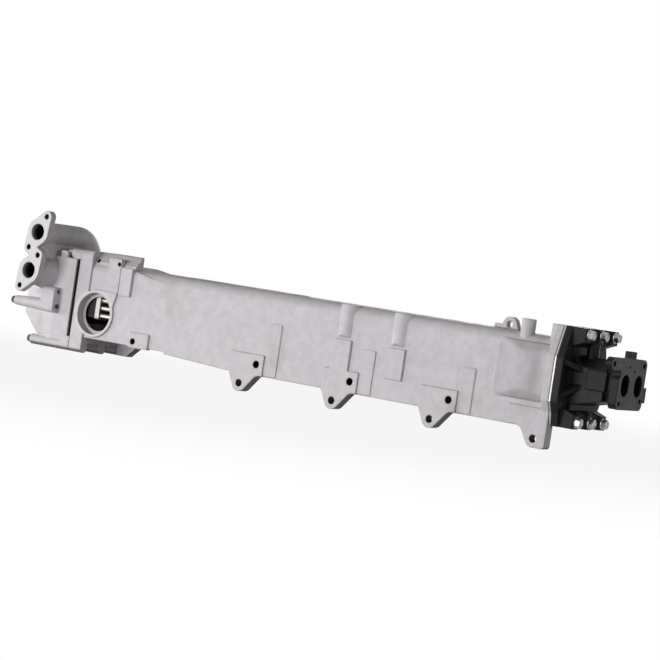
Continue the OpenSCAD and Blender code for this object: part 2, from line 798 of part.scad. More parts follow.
module tube_slots(x0, x1) {
    for (i = [1:TUBES])
        along_x(x0 - over, x1 + over) tube_section(tube_z(i), -fit);
}

module header_rect(g) {
    rounded_rect([mid_y - header_w / 2 + g, core_z - header_h / 2 + g],
                 [mid_y + header_w / 2 - g, core_z + header_h / 2 - g], header_margin);
}

module cold_header() {
    color("silver")
    difference() {
        along_x(cold_header_x, cold_header_x + cold_header_t) header_rect(0);
        tube_slots(cold_header_x, cold_header_x + cold_header_t);
    }
}

module hot_header() {
    color("silver")
    difference() {
        along_x(hot_header_x, hot_header_x + hot_header_t) hot_outline();
        tube_slots(hot_header_x, hot_header_x + hot_header_t);
        hot_bolt_holes(hot_header_x - over, hot_header_x + hot_header_t + over, bolt_d + bolt_clear);
    }
}

module hot_joint_gasket(x0) {
    difference() {
        along_x(x0, x0 + gasket_t) hot_outline();
        along_x(x0 - over, x0 + gasket_t + over)
            rounded_rect([mid_y - opening_w / 2, core_z - opening_h / 2],
                         [mid_y + opening_w / 2, core_z + opening_h / 2], swell_r);
        hot_bolt_holes(x0 - over, x0 + gasket_t + over, bolt_d + bolt_clear);
    }
}

module coolant_gasket() {
    color("gray") hot_joint_gasket(hot_x);
}

module gas_gasket() {
    color("gray") hot_joint_gasket(hot_header_x + hot_header_t);
}

module tube(i) {
    color("silver")
    difference() {
        along_x(tube_x[0], tube_x[1]) tube_section(tube_z(i), 0);
        along_x(tube_x[0] - over, tube_x[1] + over) tube_section(tube_z(i), tube_wall);
    }
}

// Folded sheet that fills a tube and leaves its ends free
module fin(i) {
    flat = tube_w - tube_h - fin_gap;
    folds = 2 * floor(flat / fin_pitch);
    rise = tube_h / 2 - tube_wall - fit - fin_t;
    function crest(k, s) = [mid_y + (k - folds / 2) * fin_pitch / 2,
                            tube_z(i) + (k % 2 == 0 ? rise : -rise) + s * fin_t];
    color("lightgray")
        along_x(tube_x[0] + 2 * tube_h, tube_x[1] - 2 * tube_h)
            polygon(concat([for (k = [0:folds]) crest(k, 1)], [for (k = [folds:-1:0]) crest(k, -1)]));
}

// Plate round the tubes, open above or below by turns
module baffle(i) {
    x0 = cold_header_x + i * baffle_step;
    rim = (core_h + header_margin) / 2;
    window_z = i % 2 == 0 ? [baffle_z[0] - over, core_z - rim] : [core_z + rim, baffle_z[1] + over];
    color("silver")
    difference() {
        along_x(x0, x0 + baffle_t)
            rounded_rect([baffle_y[0], baffle_z[0]], [baffle_y[1], baffle_z[1]], swell_r);
        tube_slots(x0, x0 + baffle_t);
        box([x0 - over, mid_y - tube_w / 2, window_z[0]],
            [x0 + baffle_t + over, mid_y + tube_w / 2, window_z[1]]);
    }
}

// Square cup on the cold header that leads into a round end
module cold_collector() {
    x0 = cold_header_x - collector_box_l;
    color("dimgray")
    difference() {
        union() {
            along_x(x0, cold_header_x) header_rect(0);
            rod_x(cover_x - collector_depth, x0 + over, mid_y, core_z, collector_d);
        }
        along_x(x0 + collector_wall, cold_header_x + over) header_rect(collector_wall);
        rod_x(cover_x - collector_depth - over, cold_header_x, mid_y, core_z,
              collector_d - 2 * collector_wall);
    }
}

module collector_seal() {
    color("black")
        translate([seal_x + seal_d / 2, mid_y, core_z]) rotate([0, 90, 0])
            rotate_extrude() translate([(collector_d + seal_d) / 2, 0]) circle(d = seal_d - 2 * fit);
}

// Flanged hex bolt whose head seats at x and faces the way of dir
module bolt(x, y, z, dir, grip, d, af) {
    flange_h = bolt_head_h / 5;
    translate([x, y, z]) rotate([0, dir * 90, 0]) {
        translate([0, 0, -grip]) cylinder(h = grip + over, d = d);
        cylinder(h = flange_h, d = af + bolt_flange);
        cylinder(h = bolt_head_h, d = af / cos(30), $fn = 6);
    }
}

module inlet_bolts() {
    color("whitesmoke")
        for (y = hot_bolt_y, z = hot_bolt_z)
            bolt(diff_x + rail_t, y, z, 1, diff_x + rail_t - hot_x + bolt_grip, bolt_d, bolt_af);
}

module cover_bolts_top() {
    color("whitesmoke")
        for (y = top_bolt_y)
            bolt(top_seat_x, y, top_bolt_z, -1, cold_x - top_seat_x + bolt_grip, bolt_d, bolt_af);
}

module cover_bolts_long() {
    color("dimgray")
        for (y = stay_y)
            bolt(cover_x - stay_l, y, stay_z, -1, stay_l + gasket_t + bolt_grip, stay_bolt_d, stay_bolt_af);
}

module boss_bolt() {
    color("dimgray")
        bolt(plenum_x0, long_boss_y, long_boss_z, -1, long_lug_x[1] - plenum_x0 + hole_extra,
             stay_bolt_d, stay_bolt_af);
}

// Straight-sided duct between two rectangles, centred on the core's middle plane
module duct(x0, length, half, heights) {
    x1 = x0 + length;
    intersection() {
        along_z(0, flange_top)
            polygon([[x0, mid_y - half[0]], [x1, mid_y - half[1]],
                     [x1, mid_y + half[1]], [x0, mid_y + half[0]]]);
        along_y(0, 2 * mid_y)
            translate([0, inlet_z])
                polygon([[x0, heights[0][0]], [x1, heights[1][0]], [x1, heights[1][1]], [x0, heights[0][1]]]);
    }
}

// Rail with a boss round each bolt and hollows between them, flared where it meets the joint plate
module bolt_rail(edge, way) {
    inner = edge - way * rail_h;
    difference() {
        along_y(mid_y - rail_half, mid_y + rail_half)
            polygon([[diff_x, edge], [diff_x + rail_t, edge], [diff_x + rail_t, inner],
                     [diff_x, inner - way * rail_flare]]);
        for (i = [0:1])
            rod_z(flange_z0 - over, flange_top + over, diff_x + rail_t + scallop_r / 4,
                  (hot_bolt_y[i] + hot_bolt_y[i + 1]) / 2, 2 * scallop_r);
    }
}

// Web across the diffuser with a hollow curve from each rail down to the duct
module diffuser_crook() {
    along_y(mid_y - duct_half[1], mid_y + duct_half[1])
        difference() {
            translate([diff_x, flange_z0 + rail_h])
                square([crook_top.x, flange_top - flange_z0 - 2 * rail_h]);
            translate([diff_x, inlet_z] + crook_top) circle(crook_top_r);
            translate([diff_x + crook_top.x - crook_top_r, inlet_z + crook_top.y]) square(crook_top_r + over);
            translate([diff_x, inlet_z] + crook_low) circle(crook_low_r);
            translate([diff_x + crook_low.x - crook_low_r, inlet_z + crook_low.y - crook_low_r])
                square([2 * crook_low_r, crook_low_r]);
        }
}

// Slanted ribs from the edge of the joint plate to the duct
module diffuser_ribs() {
    for (side = [-1, 1], turn = web_turn)
        translate([diff_x + diff_plate_t - over, mid_y + side * duct_half[1], core_z + turn[0]])
            rotate([-side * turn[1], 0, 0])
                along_z(-web_t / 2, web_t / 2)
                    polygon([[0, -side * web_t], [0, side * web_out / 2], [web_rise, -side * web_t]]);
}

// Hipped roof along the duct, with a round plug behind the upper rail
module diffuser_roof() {
    along_x(diff_x, diff_x + duct_l) translate([mid_y, inlet_z])
        polygon([[-roof_half[0], roof_z[0]], [-roof_half[1], roof_z[1]],
                 [roof_half[1], roof_z[1]], [roof_half[0], roof_z[0]]]);
    rod_z(inlet_z + roof_z[0], flange_top - rail_h, diff_x + plug_at.x, mid_y + plug_at.y, plug_d);
}

// Plate with the inlet ports, its side ear, neck and the raised panel on the duct
module inlet_head() {
    along_x(face_x - inlet_t, face_x)
        translate([mid_y, inlet_z]) difference() {
            rounded_rect([-plate_half, plate_z[0]], [plate_half, plate_z[1]], plate_r);
            translate(notch) circle(notch_r);
        }
    along_x(face_x - ear_t, face_x)
        strap([ear_y[0], ear_z], ear_r, [mid_y, ear_z], ear_r);
    along_x(diff_x + duct_l - over, face_x - over) translate([mid_y, inlet_z])
        rounded_rect([-neck_half, neck_z[0]], [neck_half, neck_z[1]], neck_r);
    for (b = [crown, side_block])
        box([face_x, mid_y, inlet_z] + b[0], [face_x, mid_y, inlet_z] + b[1]);
    box([diff_x, mid_y, inlet_z] + panel[0], [diff_x, mid_y, inlet_z] + panel[1]);
}

module inlet_diffuser() {
    r = inlet_port_w / 2;
    lift = inlet_port_h / 2 - r;
    color("darkslategray")
    difference() {
        union() {
            along_x(diff_x, diff_x + diff_plate_t) hot_outline();
            bolt_rail(flange_top, 1);
            bolt_rail(flange_z0, -1);
            duct(diff_x, duct_l, duct_half, duct_z);
            diffuser_crook();
            diffuser_ribs();
            diffuser_roof();
            inlet_head();
        }
        duct(diff_x - over, mouth_l, mouth_half, mouth_z);
        duct(diff_x + mouth_l - 2 * over, chamber_l - mouth_l, chamber_half, chamber_z);
        for (y = inlet_y)
            along_x(diff_x + chamber_l - 4 * over, face_x + over)
                strap([y, inlet_z - lift], r, [y, inlet_z + lift], r);
        hot_bolt_holes(diff_x - over, diff_x + rail_t + over, bolt_d + bolt_clear);
        for (y = ear_y)
            rod_x(face_x - inlet_t - over, face_x + over, y, ear_z, ear_hole_d);
        for (p = inlet_stud)
            rod_x(face_x - inlet_t - over, face_x + over, mid_y + p.x, inlet_z + p.y, inlet_stud_d);
        for (p = pin_hole)
            rod_x(face_x - pin_hole_depth, face_x + over, mid_y + p.x, inlet_z + p.y, pin_hole_d);
    }
}

housing();
outlet_cover();
cover_gasket();
inlet_diffuser();
coolant_gasket();
gas_gasket();
hot_header();
cold_header();
cold_collector();
collector_seal();
inlet_bolts();
cover_bolts_top();
cover_bolts_long();
boss_bolt();
for (i = [1:TUBES]) {
    tube(i);
    fin(i);
}
for (i = [1:BAFFLES])
    baffle(i);
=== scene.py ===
"""EGR cooler: finishes, smooth cast swells, bolts and a pale studio for the packed cooler.

Everything is in metres, in the cooler's own frame: X along the length to the hot end, Y from the lug faces
into the housing, Z up. The origin lies on the lug faces, midway along the row of lug holes.
"""

import json
import math

import bpy
import numpy as np
from mathutils import Matrix, Vector


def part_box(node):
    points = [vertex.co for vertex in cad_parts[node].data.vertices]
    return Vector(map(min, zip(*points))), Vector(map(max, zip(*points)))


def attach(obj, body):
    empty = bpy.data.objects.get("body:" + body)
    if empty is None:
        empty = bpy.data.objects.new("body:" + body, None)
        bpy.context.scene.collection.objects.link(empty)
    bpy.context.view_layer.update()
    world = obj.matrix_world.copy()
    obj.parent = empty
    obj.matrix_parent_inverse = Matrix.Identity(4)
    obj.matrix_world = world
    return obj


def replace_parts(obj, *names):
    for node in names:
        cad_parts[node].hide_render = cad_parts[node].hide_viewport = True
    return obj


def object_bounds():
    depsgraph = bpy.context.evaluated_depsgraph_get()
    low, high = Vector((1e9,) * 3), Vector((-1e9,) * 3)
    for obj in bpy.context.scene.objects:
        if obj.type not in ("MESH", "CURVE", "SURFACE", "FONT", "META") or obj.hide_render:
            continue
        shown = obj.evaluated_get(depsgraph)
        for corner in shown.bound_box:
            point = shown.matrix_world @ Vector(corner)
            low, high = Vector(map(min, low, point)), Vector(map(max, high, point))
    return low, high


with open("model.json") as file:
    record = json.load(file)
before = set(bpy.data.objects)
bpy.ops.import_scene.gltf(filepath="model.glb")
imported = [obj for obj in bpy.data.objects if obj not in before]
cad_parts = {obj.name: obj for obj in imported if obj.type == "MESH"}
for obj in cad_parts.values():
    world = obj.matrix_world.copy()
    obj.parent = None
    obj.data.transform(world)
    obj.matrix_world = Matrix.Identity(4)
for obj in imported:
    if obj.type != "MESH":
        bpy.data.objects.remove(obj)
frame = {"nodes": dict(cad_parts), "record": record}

bl_info = {
    "name": "EGR Cooler",
    "version": (1, 0, 0),
    "blender": (4, 5, 0),
    "location": "View3D > Sidebar > Cooler",
    "description": "Dresses a cast exhaust gas cooler with its finishes, bolts and studio",
    "category": "Object",
}

CAD_BOX = [list(corner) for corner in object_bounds()]
MOUNTS = {mount["name"]: mount for mount in frame["record"]["mounts"]}
NODES = frame["nodes"]
MM = 0.001
WHITE = (1, 1, 1, 1)


def node_box(name):
    """Lowest and highest corner of a CAD node as two arrays."""
    low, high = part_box(name)
    return np.array(low), np.array(high)


def hole_places(name):
    """X and Z of the two holes of a bolt pattern that lies in a row along X, with the holes' radius."""
    mount = MOUNTS[name]
    half = mount["dims"]["spacing_x_mm"] * MM / 2
    x, _, z = mount["pos_m"]
    return [(x - half, z), (x + half, z)], mount["dims"]["hole_r_mm"] * MM


def ring_places(name, tilt):
    """X and Z of the two holes of a bolt pattern on a circle, at that angle, with the holes' radius."""
    mount = MOUNTS[name]
    half = mount["dims"]["pcd_mm"] * MM / 2
    x, _, z = mount["pos_m"]
    step = np.array([math.cos(tilt), math.sin(tilt)]) * half
    return [tuple(step * way + [x, z]) for way in (1, -1)], mount["dims"]["hole_r_mm"] * MM


def axis_place(mount):
    """X and Z of the axis of a bore that runs along Y."""
    x, _, z = mount["pos_m"]
    return x, z


def bore_end(mount):
    """Y of the far end of a bore that runs along Y."""
    return mount["pos_m"][1] + mount["dims"]["length_mm"] * MM / 2


# Settings


class CastFinish(bpy.types.PropertyGroup):
    """Colours and grain of the cast aluminium and the black iron"""

    aluminium: bpy.props.FloatVectorProperty(
        name="Aluminium", description="Colour of the blasted casting", subtype="COLOR",
        size=3, min=0, max=1, default=(0.60, 0.572, 0.598))
    milled: bpy.props.FloatVectorProperty(
        name="Milled faces", description="Colour of the machined aluminium faces", subtype="COLOR",
        size=3, min=0, max=1, default=(0.62, 0.605, 0.61))
    stain: bpy.props.FloatVectorProperty(
        name="Stain", description="Colour of the faint stains on the casting", subtype="COLOR",
        size=3, min=0, max=1, default=(0.47, 0.445, 0.43))
    # Painted shade: the dark colour laid on faces that point down near the bottom, under the lugs and the
    # housing
    under_shade: bpy.props.FloatVectorProperty(
        name="Underside", description="Colour of the grime under the lugs and the housing", subtype="COLOR",
        size=3, min=0, max=1, default=(0.10, 0.095, 0.098))
    # Painted shade: the near-black colour laid in the depth of the cover's groove
    groove_shade: bpy.props.FloatVectorProperty(
        name="Groove", description="Colour of the grime in the cover's groove", subtype="COLOR",
        size=3, min=0, max=1, default=(0.018, 0.016, 0.018))
    # Painted shade: the near-black colour laid inside the holes, bores and coolant room
    hole_shade: bpy.props.FloatVectorProperty(
        name="Holes", description="Colour inside the holes, bores and coolant room", subtype="COLOR",
        size=3, min=0, max=1, default=(0.012, 0.012, 0.012))
    # Height up to which the painted shade on faces that point down reaches
    under_shade_top: bpy.props.FloatProperty(
        name="Underside height", description="Height up to which faces that point down are grimy",
        unit="LENGTH", default=15 * MM)
    iron: bpy.props.FloatVectorProperty(
        name="Black iron", description="Colour of the coated diffuser", subtype="COLOR",
        size=3, min=0, max=1, default=(0.0040, 0.0040, 0.0055))
    bare_iron: bpy.props.FloatVectorProperty(
        name="Bare iron", description="Colour of the machined inlet face", subtype="COLOR",
        size=3, min=0, max=1, default=(0.040, 0.036, 0.037))
    blend: bpy.props.FloatProperty(
        name="Edge blend", description="Radius to which cast edges and corners look rounded",
        unit="LENGTH", min=0, default=3.0 * MM)
    grain: bpy.props.FloatProperty(
        name="Grain", description="Size of the blasted grain", unit="LENGTH", min=0.0001, default=1.6 * MM)
    waves: bpy.props.FloatProperty(
        name="Waves", description="Depth of the slow waves in the cast walls", unit="LENGTH",
        min=0, default=1.2 * MM)
    foot_hole: bpy.props.FloatVectorProperty(
        name="Foot hole", description="Place of the hole in the foot at the cold end", subtype="TRANSLATION",
        unit="LENGTH", size=3, default=(-454 * MM, 0, 31.5 * MM))
    flange_tilt: bpy.props.FloatProperty(
        name="Flange tilt", description="Angle between the gas flange's bolt rows and the length",
        subtype="ANGLE", default=math.radians(61))


class SmallMetal(bpy.types.PropertyGroup):
    """Colours of the core, gaskets and bolts"""

    stainless: bpy.props.FloatVectorProperty(
        name="Stainless", description="Colour of the core's sheet", subtype="COLOR",
        size=3, min=0, max=1, default=(0.56, 0.545, 0.51))
    plate: bpy.props.FloatVectorProperty(
        name="Plate", description="Colour of the header plates", subtype="COLOR",
        size=3, min=0, max=1, default=(0.39, 0.375, 0.35))
    # Painted shade: a near-black colour for the collector deep inside the coolant port, where shade falls
    painted_collector_shade: bpy.props.FloatVectorProperty(
        name="Heat tint", description="Colour of the dark collector", subtype="COLOR",
        size=3, min=0, max=1, default=(0.022, 0.021, 0.021))
    zinc: bpy.props.FloatVectorProperty(
        name="Zinc", description="Colour of the bright bolts", subtype="COLOR",
        size=3, min=0, max=1, default=(0.43, 0.43, 0.44))
    dark_bolt: bpy.props.FloatVectorProperty(
        name="Dark bolts", description="Colour of the coated long bolts", subtype="COLOR",
        size=3, min=0, max=1, default=(0.035, 0.034, 0.034))
    gasket: bpy.props.FloatVectorProperty(
        name="Gasket", description="Colour of the gaskets and the ring seal", subtype="COLOR",
        size=3, min=0, max=1, default=(0.02, 0.02, 0.021))


class SwellShape(bpy.types.PropertyGroup):
    """Form of the smooth swells round the hot end of the core"""

    length: bpy.props.FloatProperty(
        name="Length", description="Distance from the joint at which a swell starts",
        unit="LENGTH", min=0.05, default=92.5 * MM)
    end_gap: bpy.props.FloatProperty(
        name="End gap", description="Distance from the joint at which a swell ends in the joint plate",
        unit="LENGTH", min=0, default=10.5 * MM)
    low: bpy.props.FloatProperty(
        name="Lower edge", description="Height of a swell's lower edge", unit="LENGTH", default=50.6 * MM)
    high: bpy.props.FloatProperty(
        name="Upper edge", description="Height of a swell's upper edge", unit="LENGTH", default=129.4 * MM)
    corner: bpy.props.FloatProperty(
        name="Corner", description="Radius of the two corners away from the joint",
        unit="LENGTH", min=0.001, default=9.5 * MM)
    wall_y: bpy.props.FloatProperty(
        name="Front wall", description="Distance of the front wall behind the lug faces",
        unit="LENGTH", default=3 * MM)
    step: bpy.props.FloatProperty(
        name="Step", description="Height of the flat pad on which a swell stands",
        unit="LENGTH", default=1.5 * MM)
    lead: bpy.props.FloatProperty(
        name="Lead", description="Length of the flat pad before a swell starts to rise", unit="LENGTH",
        min=0, default=4 * MM)
    tail: bpy.props.FloatProperty(
        name="Tail", description="How far inside the joint plate a swell would reach its end height",
        unit="LENGTH", min=0, default=5.5 * MM)
    crest: bpy.props.FloatProperty(
        name="Crest", description="Share of the length at which a swell is highest",
        min=0.1, max=0.9, default=0.55)
    dip: bpy.props.FloatProperty(
        name="Dip", description="Share of the height lost between the crest and the joint",
        min=0, max=0.9, default=0.30)
    shoulder: bpy.props.FloatProperty(
        name="Shoulder", description="Width over which a swell reaches its height above and below",
        unit="LENGTH", min=0.001, default=13 * MM)
    soften: bpy.props.FloatProperty(
        name="Softness", description="Height over which the shoulders blend into the swell",
        unit="LENGTH", min=0.0001, default=3 * MM)


class BoltShape(bpy.types.PropertyGroup):
    """Form of the flanged hex bolts"""

    chamfer: bpy.props.FloatProperty(
        name="Chamfer", description="Angle of the chamfer on a bolt's head",
        subtype="ANGLE", min=0.1, max=1.2, default=math.radians(30))
    dish: bpy.props.FloatProperty(
        name="Dish", description="Depth of the hollow in the top of a head",
        unit="LENGTH", min=0, default=0.8 * MM)


class StudioLook(bpy.types.PropertyGroup):
    """Camera, floor and lamps"""

    camera_at: bpy.props.FloatVectorProperty(
        name="Camera", description="Place of the camera", subtype="TRANSLATION", unit="LENGTH",
        size=3, default=(1.6944, -2.7506, 0.2046))
    camera_right: bpy.props.FloatVectorProperty(
        name="Right", description="Direction to the right in the picture", subtype="DIRECTION",
        size=3, default=(0.82553, 0.54481, 0.14688))
    camera_back: bpy.props.FloatVectorProperty(
        name="Back", description="Direction from the cooler to the camera", subtype="DIRECTION",
        size=3, default=(0.54660, -0.83680, 0.03210))
    focal: bpy.props.FloatProperty(
        name="Focal length", description="Focal length of the camera in pixels of the picture",
        min=100, default=2290)
    picture: bpy.props.FloatProperty(
        name="Picture", description="Width of the picture in pixels", min=1, default=660)
    floor: bpy.props.FloatVectorProperty(
        name="Floor", description="Colour of the floor", subtype="COLOR",
        size=3, min=0, max=1, default=(0.42, 0.42, 0.42))
    whiteness: bpy.props.FloatProperty(
        name="Whiteness", description="Share of the background's white in the floor near the cooler",
        subtype="FACTOR", min=0, max=1, default=0.90)
    room: bpy.props.FloatProperty(
        name="Room", description="Strength of the even light of the room", min=0, default=0.065)
    key: bpy.props.FloatProperty(
        name="Key", description="Strength of the lamp at the far left", unit="POWER", min=0, default=86)
    front: bpy.props.FloatProperty(
        name="Front", description="Strength of the lamp in front of the cooler", unit="POWER",
        min=0, default=68)
    rear: bpy.props.FloatProperty(
        name="Rear", description="Strength of the lamp behind the cooler", unit="POWER", min=0, default=68)
    side: bpy.props.FloatProperty(
        name="Side", description="Strength of the lamp at the right", unit="POWER", min=0, default=18)


def settings(name):
    """One of the cooler's groups of settings in the scene."""
    return getattr(bpy.context.scene, name)


# Shader maths


class Value:
    """A shader socket whose arithmetic adds Math nodes."""

    def __init__(self, paint, socket):
        self.paint = paint
        self.socket = socket

    def math(self, operation, *inputs):
        """A Math node of that operation on the inputs."""
        return self.paint.node("ShaderNodeMath", {"operation": operation}, dict(enumerate(inputs)))

    def __add__(self, other):
        return self.math("ADD", self, other)

    def __sub__(self, other):
        return self.math("SUBTRACT", self, other)

    def __rsub__(self, other):
        return self.math("SUBTRACT", other, self)

    def __mul__(self, other):
        return self.math("MULTIPLY", self, other)

    def __pow__(self, other):
        return self.math("POWER", self, other)

    def __lt__(self, other):
        return self.math("LESS_THAN", self, other)

    def __gt__(self, other):
        return self.math("GREATER_THAN", self, other)

    def __abs__(self):
        return self.math("ABSOLUTE", self)

    __radd__ = __add__
    __rmul__ = __mul__

    def step(self, low, high):
        """0 below low, 1 above high, and a smooth rise between them."""
        limits = {"Value": self, "From Min": low, "From Max": high}
        return self.paint.node("ShaderNodeMapRange", {"interpolation_type": "SMOOTHSTEP"}, limits)

    def most(self, other):
        """The larger of two values."""
        return self.math("MAXIMUM", self, other)


class Paint:
    """A material or a world whose nodes are made by expressions."""

    def __init__(self, owner):
        self.owner = owner
        owner.use_nodes = True
        self.tree = owner.node_tree
        self.tree.nodes.clear()

    def node(self, kind, setup, inputs, output=0):
        """A node of that kind with its settings made first, then the values or links of its sockets."""
        made = self.tree.nodes.new(kind)
        for key, value in setup.items():
            setattr(made, key, value)
        for key, value in inputs.items():
            if isinstance(value, Value):
                self.tree.links.new(value.socket, made.inputs[key])
            else:
                made.inputs[key].default_value = value
        return Value(self, made.outputs[output]) if made.outputs else None

    def place(self):
        """Object coordinates."""
        return self.node("ShaderNodeTexCoord", {}, {}, "Object")

    def parts(self, vector):
        """The three parts of a vector."""
        split = self.node("ShaderNodeSeparateXYZ", {}, {0: vector})
        return [Value(self, socket) for socket in split.socket.node.outputs]

    def facing(self):
        """The three parts of the surface's direction."""
        return self.parts(self.node("ShaderNodeNewGeometry", {}, {}, "Normal"))

    def stretch(self, vector, scale):
        """A vector scaled by three factors."""
        return self.node("ShaderNodeVectorMath", {"operation": "MULTIPLY"}, {0: vector, 1: scale})

    def noise(self, vector, scale, detail=3.0, rough=0.55):
        """Fractal noise from 0 to 1."""
        sizes = {"Vector": vector, "Scale": scale, "Detail": detail, "Roughness": rough}
        return self.node("ShaderNodeTexNoise", {}, sizes, "Fac")

    def mix(self, share, first, second):
        """A colour between two others, which are sockets 6 and 7 of the Mix node."""
        made = self.node("ShaderNodeMix", {"data_type": "RGBA"}, {0: share}, 2)
        for index, colour in ((6, first), (7, second)):
            if isinstance(colour, Value):
                self.tree.links.new(colour.socket, made.socket.node.inputs[index])
            else:
                made.socket.node.inputs[index].default_value = colour4(colour)
        return made

    def rounded(self, radius):
        """The surface's direction as if edges and corners were rounded to that radius."""
        return self.node("ShaderNodeBevel", {"samples": 6}, {"Radius": radius}, "Normal")

    def bump(self, height, depth, normal=None, strength=1.0):
        """The surface's direction after relief of that depth."""
        keys = {"Height": height, "Distance": depth, "Strength": strength}
        if normal is not None:
            keys["Normal"] = normal
        return self.node("ShaderNodeBump", {}, keys)

    def seen(self):
        """1 for rays from the camera and for rays off metal or through glass, else 0."""
        rays = self.node("ShaderNodeLightPath", {}, {}).socket.node.outputs
        camera, glossy, clear = (Value(self, rays[kind]) for kind in
                                 ("Is Camera Ray", "Is Glossy Ray", "Is Transmission Ray"))
        return camera.most(glossy).most(clear)

    def finish(self, **inputs):
        """The surface shader with those inputs, named by socket with a low line for each space."""
        keys = {key.replace("_", " "): value for key, value in inputs.items()}
        shader = self.node("ShaderNodeBsdfPrincipled", {}, keys)
        self.node("ShaderNodeOutputMaterial", {}, {"Surface": shader})
        return self.owner


def colour4(colour):
    """A colour with full cover."""
    return (*colour, 1.0)


def scaled(colour, factor):
    """A colour with its three parts times a factor."""
    return tuple(factor * part for part in colour)


def near_axis(first, second, places, radius):
    """1 within the radius of any of the axes that pass through those places, else 0."""
    total = None
    for a, b in places:
        inside = ((first - a) ** 2 + (second - b) ** 2) < radius ** 2
        total = inside if total is None else total.most(inside)
    return total


# Materials


def hole_shade_mask(look, x, y, z):
    """1 inside the casting's bolt holes, taps and gas bores, where the casting gets painted shade, else 0.

    Each mask is a little wider than its hole, starts below the mouth and ends at a depth."""
    wider, bolt_wider = 1.02, 1.03
    mouth, depth = 0.6 * MM, 30 * MM
    holes, hole_r = hole_places("lug_bolts_outer")
    for row in ("lug_bolts_inner", "pad_bolts_cold", "pad_bolts_hot"):
        holes = holes + hole_places(row)[0]
    holes.append((look.foot_hole[0], look.foot_hole[2]))
    taps, tap_r = hole_places("block_taps")
    dark = near_axis(x, z, holes, hole_r * wider).most(near_axis(x, z, taps, tap_r * wider))
    dark = dark * (y > mouth) * (y < depth)

    flange = MOUNTS["gas_flange_face"]["pos_m"][1]
    bolt_mouth, bolt_depth = flange + 0.8 * MM, flange + 13 * MM
    for row in ("gas_bolts_upper", "gas_bolts_lower"):
        ends, end_r = ring_places(row, look.flange_tilt)
        inside = near_axis(x, z, ends, end_r * bolt_wider)
        dark = dark.most(inside * (y > bolt_mouth) * (y < bolt_depth))

    pale_to, dark_from, end_gap = 1 * MM, 14 * MM, 1 * MM
    for bore in (MOUNTS["gas_bore_upper"], MOUNTS["gas_bore_lower"]):
        inside = near_axis(x, z, [axis_place(bore)], bore["dims"]["r_mm"] * MM * wider)
        deep = (y - flange).step(pale_to, dark_from) * (y < bore_end(bore) - end_gap)
        dark = dark.most(inside * deep)
    return dark


def room_shade_mask(x, y, z):
    """1 on the walls of the coolant room behind the port's seat, where the casting gets painted shade, else
    0.
    """
    low, high = node_box("baffle_1")
    seat_gap, rear_gap, side_gap, joint_gap = 0.2 * MM, 0.6 * MM, 4 * MM, 1 * MM
    room = (y > bore_end(MOUNTS["coolant_port"]) + seat_gap) * (y < high[1] + rear_gap)
    room = room * (z > low[2] - side_gap) * (z < high[2] + side_gap)
    return room * (x > node_box("cover_gasket")[1][0]) * (x < node_box("coolant_gasket")[0][0] - joint_gap)


def groove_shade_mask(x, y, z):
    """1 in the depth of the cover's groove beside its joint, where the casting gets painted shade, else 0."""
    joint = node_box("cover_gasket")[0][0]
    width, overlap = 6.6 * MM, 0.2 * MM
    pale_to, dark_from, back = 2.2 * MM, 4.2 * MM, 20 * MM
    low, high = 12.6 * MM, 142.4 * MM
    groove_shade = (x > joint - width) * (x < joint + overlap) * y.step(pale_to, dark_from) * (y < back)
    return groove_shade * (z > low) * (z < high)


def milled_mask(x, y, z, face_y):
    """1 on the machined front faces of the port ring and the gas flange, else 0."""
    port = MOUNTS["coolant_port"]
    flange = MOUNTS["gas_flange_face"]["pos_m"][1]
    ring_width, skin, frontal = 7 * MM, 0.4 * MM, -0.95
    ring = near_axis(x, z, [axis_place(port)], port["dims"]["r_mm"] * MM + ring_width)
    return (face_y < frontal) * ((abs(y) < skin) * ring).most(y < flange + skin)


